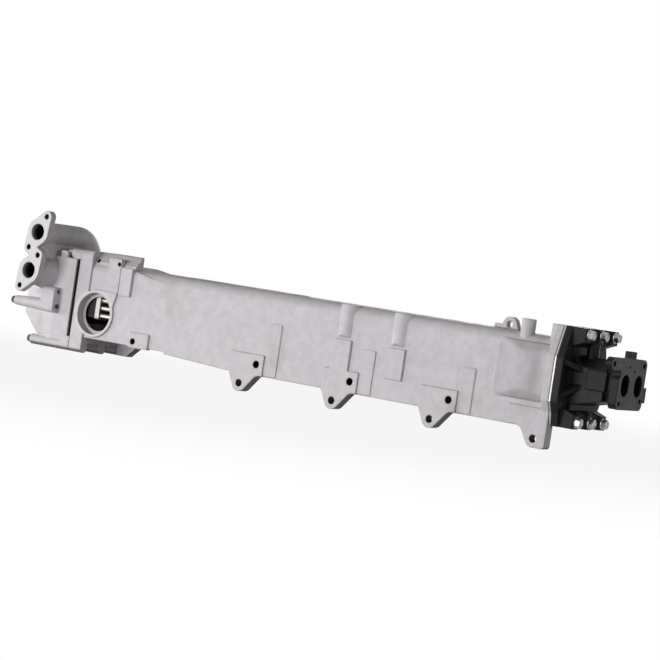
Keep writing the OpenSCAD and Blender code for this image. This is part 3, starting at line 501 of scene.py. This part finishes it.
def cast_aluminium(name, rounded, painted_shade):
    """Blasted casting with faint stains and milled faces on the port ring and gas flange.

    Painted shade darkens the holes, bores, coolant room and cover's groove, and low faces that point down.
    Edges look rounded where rounded is set, and the last argument scales the colour down as painted shade."""
    look = settings("cooler_cast")
    paint = Paint(bpy.data.materials.new(name))
    place = paint.place()
    x, y, z = paint.parts(place)
    _, face_y, face_z = paint.facing()
    # Painted shade inside the holes, bores and coolant room, which also takes the metal sheen away there
    dark = hole_shade_mask(look, x, y, z).most(room_shade_mask(x, y, z))
    groove_shade = groove_shade_mask(x, y, z)
    milled = milled_mask(x, y, z, face_y)
    # Painted shade on faces that point down, below a height
    under_shade = (0 - face_z).step(0.2, 0.6) * (z < look.under_shade_top)

    cloud = paint.noise(place, 14.0, detail=4.0, rough=0.6)
    speck = paint.noise(place, 260.0, detail=2.0)
    grain = paint.noise(place, 1 / look.grain, detail=2.0, rough=0.7)
    stain = cloud.step(0.56, 0.74) * 0.55 + speck.step(0.66, 0.78) * 0.25
    mill = paint.noise(paint.stretch(place, (60, 60, 2400)), 1.0, detail=2.0)
    wave = paint.noise(place, 16.0, detail=2.0, rough=0.4)
    mottle = paint.noise(place, 70.0, detail=4.0, rough=0.7)

    # Painted shade: a factor below 1 makes a darker copy of the same aluminium
    pale, dull = (scaled(look.aluminium, share * painted_shade) for share in (1.03, 0.91))
    tone = paint.mix(stain, paint.mix(mottle.step(0.3, 0.7), pale, dull), look.stain)
    tone = paint.mix(milled * 0.85, tone, look.milled)
    # Painted shade under the lugs and the housing
    tone = paint.mix(under_shade * 0.85, tone, look.under_shade)
    # Painted shade in the depth of the cover's groove
    tone = paint.mix(groove_shade * 0.92, tone, look.groove_shade)
    # Painted shade: near black inside the holes, bores and coolant room
    tone = paint.mix(dark, tone, look.hole_shade)
    rough = 0.50 + 0.14 * cloud + 0.10 * grain - 0.12 * milled
    relief = grain * (1 - 0.9 * milled) + mill * 0.12 * milled
    soft = paint.rounded(look.blend) if rounded else None
    normal = paint.bump(wave * (1 - milled), look.waves, soft)
    normal = paint.bump(relief, 0.35 * MM, normal, strength=0.55)
    return paint.finish(Base_Color=tone, Metallic=0.08 * (1 - dark), Roughness=rough,
                        Normal=normal, Specular_IOR_Level=0.18)


def black_iron(name):
    """Black coat over sand-cast iron, with the inlet face left bare."""
    look = settings("cooler_cast")
    paint = Paint(bpy.data.materials.new(name))
    place = paint.place()
    x, _, _ = paint.parts(place)
    face_x, _, _ = paint.facing()
    skin, frontal = 0.4 * MM, 0.95
    bare = (face_x > frontal) * (x > MOUNTS["inlet_face"]["pos_m"][0] - skin)
    sand = paint.noise(place, 520.0, rough=0.65)
    cloud = paint.noise(place, 30.0)
    scrape = paint.noise(paint.stretch(place, (300, 40, 900)), 1.0)
    coat = paint.mix(cloud.step(0.35, 0.75) * 0.7, look.iron, scaled(look.iron, 2.2))
    face = paint.mix(scrape.step(0.3, 0.75), look.bare_iron, scaled(look.bare_iron, 1.7))
    tone = paint.mix(bare, coat, face)
    rough = 0.36 + 0.22 * cloud + 0.08 * sand
    soft = paint.rounded(look.blend * 0.8)
    normal = paint.bump(sand * (1 - 0.8 * bare), 0.4 * MM, soft, strength=0.5)
    return paint.finish(Base_Color=tone, Metallic=0.55 * bare, Roughness=rough, Normal=normal,
                        Specular_IOR_Level=0.15)


def rolled_sheet(name, colour, rough):
    """Rolled sheet with fine streaks along X and a cloudy sheen."""
    paint = Paint(bpy.data.materials.new(name))
    place = paint.place()
    streak = paint.noise(paint.stretch(place, (25, 900, 900)), 1.0)
    cloud = paint.noise(place, 45.0)
    tone = paint.mix(streak * 0.5 + cloud * 0.3, colour, scaled(colour, 0.72))
    normal = paint.bump(streak, 0.05 * MM, strength=0.5)
    return paint.finish(Base_Color=tone, Metallic=1.0, Roughness=rough + 0.16 * cloud, Normal=normal)


def bolt_metal(name, colour, metallic, rough):
    """Plated bolt with small scuffs and a cloudy sheen."""
    paint = Paint(bpy.data.materials.new(name))
    place = paint.place()
    cloud = paint.noise(place, 120.0)
    scuff = paint.noise(place, 900.0, detail=2.0)
    tone = paint.mix(cloud.step(0.4, 0.8) * 0.45, colour, scaled(colour, 0.6))
    normal = paint.bump(scuff, 0.06 * MM, strength=0.35)
    return paint.finish(Base_Color=tone, Metallic=metallic, Roughness=rough + 0.2 * scuff, Normal=normal)


def gasket_sheet(name, colour):
    """Matte coated sheet with a dusty speckle."""
    paint = Paint(bpy.data.materials.new(name))
    place = paint.place()
    dust = paint.noise(place, 400.0)
    tone = paint.mix(dust.step(0.5, 0.8) * 0.5, colour, scaled(colour, 3.0))
    normal = paint.bump(dust, 0.08 * MM, strength=0.4)
    return paint.finish(Base_Color=tone, Roughness=0.62 + 0.2 * dust, Normal=normal)


def dress(names, material):
    """Gives CAD nodes that material."""
    for name in names:
        slots = NODES[name].data.materials
        slots.clear()
        slots.append(material)


# Surfaces


def grid_faces(rows, columns, closed):
    """Quads of a grid of rows by columns of points; closed joins the last column to the first."""
    starts = np.arange(columns if closed else columns - 1)
    row, column = np.meshgrid(np.arange(rows - 1), starts, indexing="ij")
    after = (column + 1) % columns
    quads = np.stack([row * columns + column, row * columns + after,
                      (row + 1) * columns + after, (row + 1) * columns + column], axis=-1)
    return quads.reshape(-1, 4)


def new_piece(name, points, faces, material, smooth_angle):
    """A mesh piece at the origin that rides with the cooler, shaded smooth below that angle."""
    mesh = bpy.data.meshes.new(name)
    mesh.from_pydata(points.reshape(-1, 3).tolist(), [], faces.tolist())
    mesh.validate()
    mesh.materials.append(material)
    piece = bpy.data.objects.new(name, mesh)
    bpy.context.scene.collection.objects.link(piece)
    mesh.shade_smooth()
    mesh.set_sharp_from_angle(angle=smooth_angle)
    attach(piece, "root")
    return piece


def measured_bolts(node, way):
    """Sizes of the equal bolts in a CAD node whose heads point along way on X, read from the node's points.

    The points at the tips lie on small rings, one to a bolt, and the middle of each ring is a bolt's axis."""
    level, ring_reach = 0.01 * MM, 15 * MM
    points = np.array([vertex.co for vertex in NODES[node].data.vertices])
    height = points[:, 0] * way
    tip = height < height.min() + level
    rings = points[tip, 1:]
    axes = []
    while len(rings):
        near = np.linalg.norm(rings - rings[0], axis=1) < ring_reach
        axes.append((rings[near].min(0) + rings[near].max(0)) / 2)
        rings = rings[~near]
    axes = np.array(axes)
    radius = np.linalg.norm(points[:, None, 1:] - axes, axis=2).min(1)
    flange_r = radius.max()
    rim = height[radius > flange_r - level]
    top = height.max()
    corner_r = radius[height > top - level].max()
    return {"axes": axes, "seat": rim.min(), "flange_h": rim.max() - rim.min(), "flange_r": flange_r,
            "head_h": top - rim.min(), "grip": rim.min() - height.min(), "shank_r": radius[tip].max(),
            "across": 2 * corner_r * math.cos(math.pi / 6)}


def bolt_profile(shape, size):
    """Half outline of a bolt from the tip of its shank to the middle of its head.

    Each row holds the height above the seat, the round radius there, and 1 where the hex cuts the radius."""
    grip, shank, rim = size["grip"], size["shank_r"], size["flange_r"]
    flange, head = size["flange_h"], size["head_h"]
    tip_r, tip_h = 0.8 * shank, 0.4 * shank
    under_r, upper_r = 0.97 * rim, 0.88 * rim
    edge_low, edge_high = 0.2 * flange, 0.5 * flange
    wall_shares = (0, 0.5, 0.7, 0.78, 0.84, 0.89, 0.94, 0.98, 1)
    wall = [[flange + share * (head - flange), rim, 1] for share in wall_shares]
    dish_r = 0.36 * size["across"]
    dish_edge, dish_floor = 1.08 * dish_r, 0.9 * dish_r
    return np.array([
        [-grip, 0, 0], [-grip, tip_r, 0], [tip_h - grip, shank, 0], [0, shank, 0],
        [0, under_r, 0], [edge_low, rim, 0], [edge_high, rim, 0], [flange, upper_r, 0],
        *wall, [head, dish_edge, 0], [head - shape.dish, dish_floor, 0], [head - shape.dish, 0, 0]])


def bolt_surface(shape, size, turn):
    """Points of one bolt along its axis: the profile turned about the axis on a grid of heights by angles.

    The hex radius at an angle is half the width across flats over the cosine of the angle from the nearest
    flat. Near the top the chamfer's cone cuts the radius too, which gives the curved corners of a head."""
    steps = 72
    angle = np.linspace(0, 2 * np.pi, steps, endpoint=False)
    flat = (angle - turn + np.pi / 6) % (np.pi / 3) - np.pi / 6
    height, round_r, hexed = bolt_profile(shape, size).T[:, :, None]
    half = size["across"] / 2
    crown_r = 0.96 * half
    cone = crown_r + (size["head_h"] - height) / math.tan(shape.chamfer)
    head_r = np.minimum(np.minimum(half / np.cos(flat), cone), round_r)
    radius = np.where(hexed > 0, head_r, round_r)
    return np.stack(np.broadcast_arrays(height, radius * np.cos(angle), radius * np.sin(angle)), axis=-1)


def bolt_group(node, way, material):
    """One piece with all bolts of a CAD node, each turned by another angle, that stands for the node."""
    shape = settings("cooler_bolt")
    size = measured_bolts(node, way)
    count = len(size["axes"])
    turn, crease = 2.4, math.radians(28)
    points = np.array([bolt_surface(shape, size, index * turn) for index in range(count)])
    points[..., 0] += size["seat"]
    points[..., 1:] += size["axes"][:, None, None, :]
    points[..., 0] *= way
    rows, columns = points.shape[1:3]
    faces = grid_faces(rows, columns, True)
    faces = np.concatenate([faces + index * rows * columns for index in range(count)])
    faces = faces if way > 0 else faces[:, ::-1]
    piece = new_piece(node + "_made", points, faces, material, crease)
    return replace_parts(piece, node)


def swell_surface(shape, side):
    """Points of the smooth swell on the front wall, or on the rear wall where side is -1.

    Along X the height follows half a cosine wave up to a crest, dips a little and rises again to the joint
    plate. Above and below, straight shoulders climb from the edge. The height is the lower of the two,
    blended where they are nearly equal: the lower one less a quarter of the softness times the square of the
    overlap's share. The skin lies a little proud of that height, less so at its edges and towards the joint,
    and all of it is sunk by a hair so that the rim lies in the pad."""
    rows, columns = 90, 80
    dip_power, fade_power, fade = 1.4, 6, 0.85
    clear, run_in, edge_rise, sink = 0.2 * MM, 12 * MM, 2, 0.1 * MM
    plate_low, plate_high = node_box("coolant_gasket")
    mid_y = (plate_low[1] + plate_high[1]) / 2
    base_y = shape.wall_y - shape.step
    top = base_y - plate_low[1]
    start = plate_low[0] - shape.length
    x = np.linspace(start, plate_low[0] - shape.end_gap, rows)[:, None]
    corner = shape.corner - np.sqrt(shape.corner ** 2 - np.clip(shape.corner - (x - start), 0, None) ** 2)
    share = np.linspace(0, 1, columns)[None, :]
    z = shape.low + corner + (shape.high - shape.low - 2 * corner) * share
    along = np.clip((x - start - shape.lead) / (shape.length - shape.lead - shape.tail), 0, 1)
    after = np.clip((along - shape.crest) / (1 - shape.crest), 0, 1)
    climb = (1 - np.cos(np.pi * np.clip(along / shape.crest, 0, 1))) / 2
    wave = top * (climb - shape.dip * np.sin(np.pi * after ** dip_power) ** 2)
    inward = np.minimum(z - shape.low - corner, shape.high - corner - z)
    slope = top * inward / shape.shoulder
    overlap = np.clip(1 - abs(wave - slope) / shape.soften, 0, 1)
    height = np.minimum(wave, slope) - shape.soften / 4 * overlap ** 2
    proud = (shape.soften / 4 + clear) * np.clip((x - start) / run_in, 0, 1)
    proud = proud * (1 - fade * along ** fade_power)
    lift = height + np.minimum(proud, inward * edge_rise) - sink
    y = base_y - lift
    y = y if side > 0 else 2 * mid_y - y
    return np.stack(np.broadcast_arrays(x, y, z), axis=-1)


# Operators


class COOLER_OT_castings(bpy.types.Operator):
    """Finishes the aluminium housing and outlet cover and the black iron diffuser"""

    bl_idname = "cooler.castings"
    bl_label = "Castings"

    def execute(self, context):
        dress(["housing", "outlet_cover"], cast_aluminium("cast_aluminium", rounded=True, painted_shade=1.0))
        dress(["inlet_diffuser"], black_iron("black_iron"))
        return {"FINISHED"}


class COOLER_OT_core(bpy.types.Operator):
    """Finishes the tubes, fins, headers, baffles and collector of the core"""

    bl_idname = "cooler.core"
    bl_label = "Core"

    def execute(self, context):
        look = settings("cooler_metal")
        sheet = [name for name in NODES if name.startswith(("tube_", "fin_", "baffle_"))]
        dress(sheet, rolled_sheet("stainless_sheet", look.stainless, rough=0.42))
        dress(["hot_header", "cold_header"], rolled_sheet("header_plate", look.plate, rough=0.42))
        # The collector's sheet is near black as painted shade for the depth of the coolant port
        dress(["cold_collector"], rolled_sheet("heat_tinted_sheet", look.painted_collector_shade, rough=0.35))
        return {"FINISHED"}


class COOLER_OT_joints(bpy.types.Operator):
    """Finishes the gaskets and the ring seal"""

    bl_idname = "cooler.joints"
    bl_label = "Gaskets"

    def execute(self, context):
        look = settings("cooler_metal")
        dress(["cover_gasket", "coolant_gasket", "gas_gasket", "collector_seal"],
              gasket_sheet("gasket_sheet", look.gasket))
        return {"FINISHED"}


class COOLER_OT_swells(bpy.types.Operator):
    """Lays a smooth cast skin over the swell on each side of the hot end"""

    bl_idname = "cooler.swells"
    bl_label = "Swells"

    def execute(self, context):
        shape = settings("cooler_swell")
        # Painted shade: the swell skins are a darker copy of the cast aluminium
        material = cast_aluminium("cast_skin", rounded=False, painted_shade=0.86)
        for name, side in (("swell_front", 1), ("swell_rear", -1)):
            points = swell_surface(shape, side)
            faces = grid_faces(points.shape[0], points.shape[1], False)
            faces = faces[:, ::-1] if side > 0 else faces
            piece = new_piece(name, points, faces, material, math.pi)
            wall = piece.modifiers.new("wall", "SOLIDIFY")
            wall.thickness = 1.2 * MM
            wall.offset = -1.0
        return {"FINISHED"}


class COOLER_OT_bolts(bpy.types.Operator):
    """Makes the flanged hex bolts of both ends"""

    bl_idname = "cooler.bolts"
    bl_label = "Bolts"

    def execute(self, context):
        look = settings("cooler_metal")
        bright = bolt_metal("bright_zinc", look.zinc, metallic=0.65, rough=0.26)
        dark = bolt_metal("dark_coat", look.dark_bolt, metallic=0.3, rough=0.35)
        bolt_group("inlet_bolts", 1, bright)
        bolt_group("cover_bolts_top", -1, bright)
        bolt_group("cover_bolts_long", -1, dark)
        bolt_group("boss_bolt", -1, dark)
        return {"FINISHED"}


# Studio


# Each lamp's place from the cooler's middle, its width and its height, under the name of its power's setting
LAMPS = {
    "key": ((-4.6, -1.6, 0.18), 2.6, 0.5),
    "front": ((-1.0, -3.0, 0.02), 2.0, 0.2),
    "rear": ((-0.9, 3.2, 0.25), 2.4, 0.5),
    "side": ((3.4, -0.7, 0.3), 1.0, 0.5),
}


def area_lamp(name, place, aim, wide, tall, power):
    """A soft lamp of that width and height at a place, turned to a point."""
    data = bpy.data.lights.new(name, "AREA")
    data.shape = "RECTANGLE"
    data.size, data.size_y = wide, tall
    data.energy = power
    lamp = bpy.data.objects.new(name, data)
    bpy.context.scene.collection.objects.link(lamp)
    lamp.location = place
    lamp.rotation_mode = "QUATERNION"
    lamp.rotation_quaternion = (Vector(aim) - Vector(place)).to_track_quat("-Z", "Y")


def floor_material(look, centre):
    """Pale matte floor that turns to the plain white of the room away from the cooler."""
    paint = Paint(bpy.data.materials.new("pale_floor"))
    x, y, _ = paint.parts(paint.place())
    away = ((x - centre[0]) ** 2 + (y - centre[1]) ** 2) ** 0.5
    matte = paint.node("ShaderNodeBsdfDiffuse", {}, {"Color": colour4(look.floor)})
    white = paint.node("ShaderNodeEmission", {}, {"Color": WHITE, "Strength": 1.0})
    near, far = 0.45, 1.3
    share = (look.whiteness + (1 - look.whiteness) * away.step(near, far)) * paint.seen()
    surface = paint.node("ShaderNodeMixShader", {}, {0: share, 1: matte, 2: white})
    paint.node("ShaderNodeOutputMaterial", {}, {"Surface": surface})
    return paint.owner


def white_room(look):
    """World that is white to the camera and in reflections, and lights evenly at the room's strength."""
    paint = Paint(bpy.data.worlds.new("white_room"))
    strength = look.room + (1 - look.room) * paint.seen()
    back = paint.node("ShaderNodeBackground", {}, {"Color": WHITE, "Strength": strength})
    paint.node("ShaderNodeOutputWorld", {}, {"Surface": back})
    bpy.context.scene.world = paint.owner


def pale_floor(look, centre, bottom):
    """A wide square floor just below the cooler."""
    reach, gap = 8.0, 2 * MM
    corners = np.array([[-1, -1, 0], [1, -1, 0], [1, 1, 0], [-1, 1, 0]]) * reach
    corners = corners + [centre[0], centre[1], bottom - gap]
    mesh = bpy.data.meshes.new("floor")
    mesh.from_pydata(corners.tolist(), [], [[0, 1, 2, 3]])
    mesh.materials.append(floor_material(look, centre))
    floor = bpy.data.objects.new("floor", mesh)
    bpy.context.scene.collection.objects.link(floor)


def photo_camera(look):
    """The camera at its place, with its back direction made square to its right one."""
    data = bpy.data.cameras.new("camera")
    data.sensor_width = 36.0
    data.lens = data.sensor_width * look.focal / look.picture
    data.clip_start, data.clip_end = 0.05, 50.0
    camera = bpy.data.objects.new("camera", data)
    bpy.context.scene.collection.objects.link(camera)
    right = Vector(look.camera_right).normalized()
    back = Vector(look.camera_back)
    back = (back - right * back.dot(right)).normalized()
    turn = Matrix((right, back.cross(right), back)).transposed().to_4x4()
    camera.matrix_world = Matrix.Translation(look.camera_at) @ turn
    bpy.context.scene.camera = camera


class COOLER_OT_studio(bpy.types.Operator):
    """Makes the pale floor, the soft lamps and the camera"""

    bl_idname = "cooler.studio"
    bl_label = "Studio"

    def execute(self, context):
        look = settings("cooler_studio")
        low, high = np.array(CAD_BOX)
        centre = (low + high) / 2
        pale_floor(look, centre, low[2])
        white_room(look)
        for name, (offset, wide, tall) in LAMPS.items():
            area_lamp(name + "_lamp", centre + offset, centre, wide, tall, getattr(look, name))
        photo_camera(look)
        context.scene.view_settings.view_transform = "Standard"
        return {"FINISHED"}


# Panel and registration


class COOLER_PT_panel(bpy.types.Panel):
    """The cooler's pieces and settings"""

    bl_idname = "COOLER_PT_panel"
    bl_label = "EGR cooler"
    bl_space_type = "VIEW_3D"
    bl_region_type = "UI"
    bl_category = "Cooler"

    def draw(self, context):
        for operator in OPERATORS:
            self.layout.operator(operator.bl_idname)
        for name, group in GROUPS.items():
            box = self.layout.box()
            box.label(text=group.__doc__)
            for key in group.__annotations__:
                box.prop(getattr(context.scene, name), key)


GROUPS = {"cooler_cast": CastFinish, "cooler_metal": SmallMetal, "cooler_swell": SwellShape,
          "cooler_bolt": BoltShape, "cooler_studio": StudioLook}
OPERATORS = [COOLER_OT_castings, COOLER_OT_swells, COOLER_OT_core, COOLER_OT_joints, COOLER_OT_bolts,
             COOLER_OT_studio]


def register():
    """Registers the settings, the operators and the panel."""
    for group in GROUPS.values():
        bpy.utils.register_class(group)
    for name, group in GROUPS.items():
        setattr(bpy.types.Scene, name, bpy.props.PointerProperty(type=group))
    for cls in [*OPERATORS, COOLER_PT_panel]:
        bpy.utils.register_class(cls)


def unregister():
    """Takes back what register did, in the opposite order."""
    for cls in reversed([*OPERATORS, COOLER_PT_panel]):
        bpy.utils.unregister_class(cls)
    for name in GROUPS:
        delattr(bpy.types.Scene, name)
    for group in reversed(GROUPS.values()):
        bpy.utils.unregister_class(group)


def main():
    """Registers the classes and calls the operators in order."""
    register()
    for operator in OPERATORS:
        group, name = operator.bl_idname.split(".")
        getattr(getattr(bpy.ops, group), name)()


if __name__ == "__main__":
    main()
